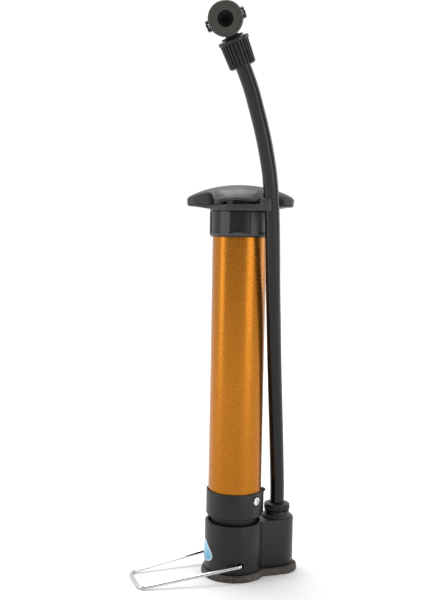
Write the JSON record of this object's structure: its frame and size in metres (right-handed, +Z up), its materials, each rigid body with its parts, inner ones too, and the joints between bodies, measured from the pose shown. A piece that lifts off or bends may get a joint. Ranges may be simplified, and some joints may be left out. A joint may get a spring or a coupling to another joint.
{
  "type": "foot air pump",
  "caption": "Upright mini air pump: slim barrel on a padded base, fold-out wire foot stirrup, winged handle on a piston rod, and a stiff hose with a lever-locked valve head.",
  "frame": {"origin": "on the barrel's axis at the underside of the foot pad, which stands on the floor", "axes": "+Z up along the barrel, +X from the barrel towards the hose boss, -X towards the foot stirrup"},
  "size_m": [0.1122, 0.0731, 0.3608],
  "materials": {
    "black_plastic": "satin moulded black plastic",
    "cap_plastic": "satin moulded black plastic",
    "handle_plastic": "smooth satin dark grey plastic",
    "hose_rubber": "smooth semi-gloss black hose",
    "soft_rubber": "matt black rubber",
    "pad_foam": "rough brown grey cut foam rubber",
    "gold_anodised": "gold anodised with fine flake",
    "zinc_steel": "bright zinc",
    "chrome_wire": "polished wire",
    "brass": "turned",
    "badge_blue": "glossy blue with a white edge"
  },
  "bodies": {
    "pump_body": {"foot_pad": "pad_foam", "base_shell": "black_plastic", "drop_badge": "badge_blue", "barrel_foot": "black_plastic", "base_oring": "soft_rubber", "barrel_gasket": "soft_rubber", "barrel_tube": "gold_anodised", "collar_screw_1": "zinc_steel", "collar_screw_2": "zinc_steel", "barrel_cap": "cap_plastic", "rod_guide_bush": "brass", "outlet_valve_seat": "brass", "valve_spring": "zinc_steel", "hose_spigot": "brass", "hose_nut_lower": "black_plastic"},
    "piston_assembly": {"piston_rod": "zinc_steel", "piston_nut": "zinc_steel", "piston_washer": "zinc_steel", "piston_core": "black_plastic", "piston_cup": "soft_rubber", "piston_plate": "black_plastic", "rebound_buffer": "soft_rubber", "handle": "handle_plastic", "handle_nut": "zinc_steel"},
    "stirrup": {"stirrup_wire": "chrome_wire"},
    "outlet_ball": {"valve_ball": "zinc_steel"},
    "hose_end": {"air_hose": "hose_rubber", "hose_nut_upper": "black_plastic", "head_spigot": "brass", "head_body": "black_plastic", "head_cap": "black_plastic", "valve_gasket": "soft_rubber", "lever_pin_right": "zinc_steel", "lever_pin_left": "zinc_steel"},
    "lever": {"head_lever": "black_plastic"},
    "pusher": {"valve_pusher": "black_plastic"}
  },
  "joints": [
    {"name": "handle_slide", "type": "slide", "parent": "pump_body", "child": "piston_assembly", "axis": [0, 0, 1], "range_m": [0, 0.15]},
    {"name": "stirrup_fold", "type": "hinge", "parent": "pump_body", "child": "stirrup", "pos_m": [-0.00165, 0, 0.0107], "axis": [0, 1, 0], "range_deg": [0, 75]},
    {"name": "hose_swing", "type": "hinge", "parent": "pump_body", "child": "hose_end", "pos_m": [0.0282, -0.0032, 0.078], "axis": [0.4695, 0.8829, 0], "range_deg": [0, 50], "stiffness_Nm_per_rad": 0.6, "deforming": ["air_hose"]},
    {"name": "head_lever_hinge", "type": "hinge", "parent": "hose_end", "child": "lever", "pos_m": [-0.02391, -0.03344, 0.35073], "axis": [0.8458, -0.3857, 0.3687], "range_deg": [0, 90]},
    {"name": "pusher_slide", "type": "slide", "parent": "hose_end", "child": "pusher", "axis": [-0.3291, -0.921, -0.2085], "range_m": [0, 0.0011]},
    {"name": "outlet_ball_slide", "type": "slide", "parent": "pump_body", "child": "outlet_ball", "axis": [0, 0, -1], "range_m": [0, 0.0015], "stiffness_N_per_m": 30, "springref_m": -0.003, "deforming": ["valve_spring"]}
  ],
  "couplings": [
    {"joint": "pusher_slide", "follows": "head_lever_hinge", "m_per_rad": 0.0007}
  ]
}
